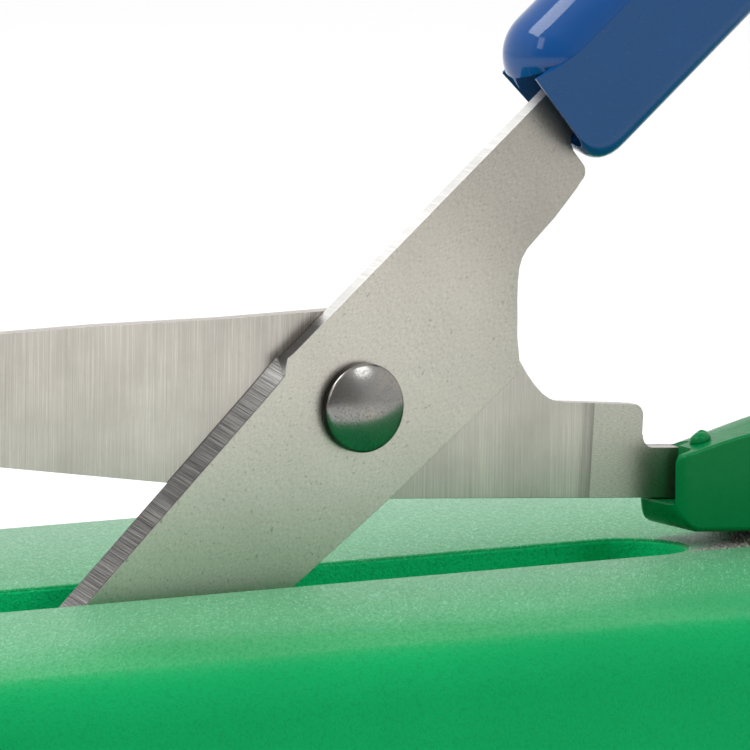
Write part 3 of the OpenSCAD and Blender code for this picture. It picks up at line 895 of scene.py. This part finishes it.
def handle_section(x):
    """A section of the fixed handle: flat sides, rounded lower corners and a crowned top."""
    behind = x - HANDLE_FRONT
    near_in = max(0.0, 1 - behind / 1.1) ** 2
    far_in = 2.6 * max(0.0, 1 - behind / 2.8) ** 2
    if x > HANDLE_TAIL:
        near_in = far_in = 2.0 * ((x - HANDLE_TAIL) / 4.0) ** 2
    low, near, crest = (between(x, t) for t in (HANDLE_BOTTOM, HANDLE_NEAR, HANDLE_CREST))
    far = crest - between(x, HANDLE_FAR_DROP)
    y0, y1 = -HANDLE_HALF + near_in, HANDLE_HALF - far_in
    r = min(0.5, (near - low) * 0.2)
    ring = arc(y0 + r, low + r, r, 180, 270, 4) + arc(y1 - r, low + r, r, 270, 360, 4)
    ring += arc(y1 - 0.3, far - 0.3, 0.3, 0, 80, 4)
    ring += [(y1 * 0.55, far + (crest - far) * 0.5), (y1 * 0.22, far + (crest - far) * 0.84), (-0.2, crest)]
    ring += [(y0 * 0.35, near + (crest - near) * 0.8), (y0 * 0.7, near + (crest - near) * 0.4)]
    ring += arc(y0 + 0.3, near - 0.3, 0.3, 100, 180, 4)
    far_slant = 1.2 * max(0.0, 1 - behind / 8.0)
    near_slant = 0.75 * max(0.0, 1 - behind / 5.0)
    return [(x + far_slant * max(0.0, (y + 1.0) / 5.6) + near_slant * max(0.0, min(1.0, (-y - 1.5) / 2.0)),
             y, z) for y, z in ring]


def fixed_handle():
    stations = [31.2, 31.22, 31.3, 31.45, 31.7, 32.0, 32.4, 32.9, 33.4, 34, 35, 36.5, 38, 40, 42, 44, 46,
                48.5, 51, 53, 55, 57, 65, 80, 100, 114, HANDLE_TAIL, 119, 120, 121, 121.6, 122]
    points, faces = loft([handle_section(x) for x in stations])
    obj = make_mesh("fixed_handle_moulding", points, faces, HANDLE_MAT, 42)
    mouth = [(26, -3.65), (33.8, -3.65), (34.3, -3.2), (34.4, -0.9), (35.6, -0.9), (35.6, 2.0), (26, 2.0)]
    rings = [[blade_point(u, y, v, FIXED_TILT, -1) for u, y in mouth] for v in (-4.0, 8.52)]
    cut(obj, make_mesh("mouth", *loft(rings), HANDLE_MAT))
    crisp(obj, 42)
    return obj


def moulding_nub():
    """The small broken-off moulding stub on top of the fixed handle."""
    x0, y0, z0 = 35.8, -1.9, -5.5
    rings = []
    for i in range(13):
        a = math.pi * i / 12
        ring = []
        for k in range(20):
            b = 2 * math.pi * k / 20
            r = 0.98 * (1 + 0.10 * math.sin(2 * b + 0.6) * math.sin(a) + 0.07 * math.sin(3 * a + b))
            out = max(r * math.sin(a), 0.01)
            ring.append((x0 + out * math.cos(b) * 1.05, y0 + out * math.sin(b), z0 + r * math.cos(a)))
        rings.append(ring)
    return make_mesh("fixed_handle_nub", *loft(rings), HANDLE_MAT, 60)


place(fixed_handle(), "base", "green_plastic", "fixed_handle")
place(moulding_nub(), "base", "green_plastic")


# ---------------------------------------------------------------- palm bar

PALM_SCREWS = (PUSH_LEN + 4, PUSH_LEN + 10)
PALM_WIDE, PALM_DEEP, PALM_LOW, PALM_LEN, PALM_CAP, PALM_R = 26.0, 13.5, 3.0, 84.0, 4.0, 4.0


def palm_ring(y, inset):
    """A rounded rectangle across the palm bar."""
    r = max(PALM_R - inset, 0.4)
    u0, u1 = PUSH_LEN + inset + r, PUSH_LEN + PALM_WIDE - inset - r
    v0, v1 = PALM_LOW + inset + r, PALM_LOW + PALM_DEEP - inset - r
    ring = arc(u1, v1, r, 0, 90, 8) + arc(u0, v1, r, 90, 180, 8)
    ring += arc(u0, v0, r, 180, 270, 8) + arc(u1, v0, r, 270, 360, 8)
    return [lever_point(u, y, v) for u, v in ring]


def palm_part(name, stations, material):
    points, faces = loft([palm_ring(y, inset) for y, inset in stations])
    return make_mesh(name, points, faces, material, 40)


CAP_PROFILE = ((-3.0, 1.2), (0.02, 1.2), (0.05, 0.75), (0.3, 0.6), (2.4, 0.6), (3.1, 0.85), (3.6, 1.4),
               (3.88, 2.1), (4.0, 3.0))


def palm_pieces():
    """The bar, and the two caps by their CAP_PROFILE of (distance past the bar's end, inset)."""
    half = PALM_LEN / 2 - PALM_CAP
    near_end = [(-half, 0.5), (-half + 0.06, 0.2), (-half + 0.3, 0.0)]
    far_end = [(-y, inset) for y, inset in reversed(near_end)]
    bar = palm_part("palm_bar_moulding", near_end + [(0, 0.0)] + far_end, BLUE_MAT)
    cut(bar, *[bore(u, 2.1, PALM_LOW - 1, PALM_LOW + 0.9) for u in PALM_SCREWS])
    crisp(bar, 40)
    place(bar, "lever", "blue_body_plastic", "palm_bar")
    for side, name in ((-1, "near"), (1, "far")):
        stations = [(side * (half + y), inset) for y, inset in CAP_PROFILE]
        cap = palm_part("palm_cap_" + name + "_moulding", stations, BLUE_GLOSS)
        place(cap, "lever", "blue_gloss_plastic", "palm_cap_" + name)


palm_pieces()


# ---------------------------------------------------------------- remaining CAD nodes get materials

def dress(material, *nodes):
    for name in nodes:
        obj = frame["nodes"][name]
        obj.data.materials.clear()
        obj.data.materials.append(material)


dress(COVER_MAT, "bottom_cover")
dress(SCREW_MAT, "cover_screws", "fixed_handle_screws", "push_handle_screws", "palm_bar_screws",
      "fixed_tang_pin", "push_tang_pin")
dress(RUBBER_MAT, "foot_tip_near", "foot_tip_far", "foot_handle_near", "foot_handle_far",
      "handle_bumper", "tip_rest_pad")


# ---------------------------------------------------------------- camera, lights and floor

AZIMUTH, ELEVATION = -31.0, 7.2
DISTANCE = 0.91
LENS = 492.0


def camera():
    a, e = math.radians(AZIMUTH), math.radians(ELEVATION)
    right = Vector((math.cos(a), math.sin(a), 0))
    back = Vector((math.sin(a) * math.cos(e), -math.cos(a) * math.cos(e), math.sin(e)))
    up = back.cross(right)
    aim = to_world((0, -BLADE_T, 0)) + right * 1.33 * MM + up * 2.84 * MM
    data = bpy.data.cameras.new("camera")
    data.lens = LENS
    data.sensor_width = 36.0
    data.clip_start = 0.01
    data.clip_end = 50
    cam = bpy.data.objects.new("camera", data)
    turn = Matrix((right, up, back)).transposed().to_4x4()
    cam.matrix_world = Matrix.Translation(aim + back * DISTANCE) @ turn
    bpy.context.scene.collection.objects.link(cam)
    bpy.context.scene.camera = cam


def area_light(name, place_at, aim, size, size_y, watts):
    data = bpy.data.lights.new(name, "AREA")
    data.shape = "RECTANGLE"
    data.size = size
    data.size_y = size_y
    data.energy = watts
    obj = bpy.data.objects.new(name, data)
    obj.location = place_at
    obj.rotation_euler = (Vector(aim) - Vector(place_at)).to_track_quat("-Z", "Y").to_euler()
    bpy.context.scene.collection.objects.link(obj)


def world(strength):
    """White surroundings that darken behind the camera."""
    w = bpy.data.worlds.new("studio")
    w.use_nodes = True
    tree = w.node_tree
    back = tree.nodes["Background"]
    back.inputs["Strength"].default_value = strength
    tex = tree.nodes.new("ShaderNodeTexCoord")
    turn = tree.nodes.new("ShaderNodeMapping")
    turn.inputs["Rotation"].default_value = (0, 0, math.radians(90 - AZIMUTH))
    turn.inputs["Scale"].default_value = (0.5, 0.5, 0.5)
    turn.inputs["Location"].default_value = (0.5, 0.5, 0.5)
    split = tree.nodes.new("ShaderNodeSeparateXYZ")
    ramp = tree.nodes.new("ShaderNodeValToRGB")
    stops = ((0.55, 1.0), (0.75, 0.85), (0.90, 0.35), (1.0, 0.25))
    while len(ramp.color_ramp.elements) < len(stops):
        ramp.color_ramp.elements.new(0.5)
    for element, (position, value) in zip(ramp.color_ramp.elements, stops):
        element.position = position
        element.color = (value, value, value, 1)
    tree.links.new(tex.outputs["Generated"], turn.inputs["Vector"])
    tree.links.new(turn.outputs["Vector"], split.inputs[0])
    tree.links.new(split.outputs[0], ramp.inputs["Fac"])
    tree.links.new(ramp.outputs["Color"], back.inputs["Color"])
    bpy.context.scene.world = w


def floor():
    size = 6.0
    mesh = bpy.data.meshes.new("floor")
    corners = [(-size, -size, 0), (size, -size, 0), (size, size, 0), (-size, size, 0)]
    mesh.from_pydata(corners, [], [(0, 1, 2, 3)])
    obj = bpy.data.objects.new("floor", mesh)
    bpy.context.scene.collection.objects.link(obj)
    m = Mat("floor_paper", (0.95, 0.95, 0.95), 0.85)
    p = m.coords()
    grain = m.noise(p, 0.4, 3, 0.6)
    m.use("Base Color", m.ramp(grain, (0.3, 0.945), (0.7, 0.955)))
    mesh.materials.append(m.mat)


camera()
world(1.05)
floor()
area_light("key", (-0.45, 0.05, 0.80), (0, 0, 0.05), 0.45, 0.45, 4.2)
area_light("front", (0.36, -0.66, 0.62), (0, 0, 0.06), 0.28, 0.28, 1.3)
area_light("window", (-0.75, -0.35, 0.55), (0, 0, 0.06), 0.22, 0.42, 0.8)
bpy.context.scene.view_settings.view_transform = "Standard"
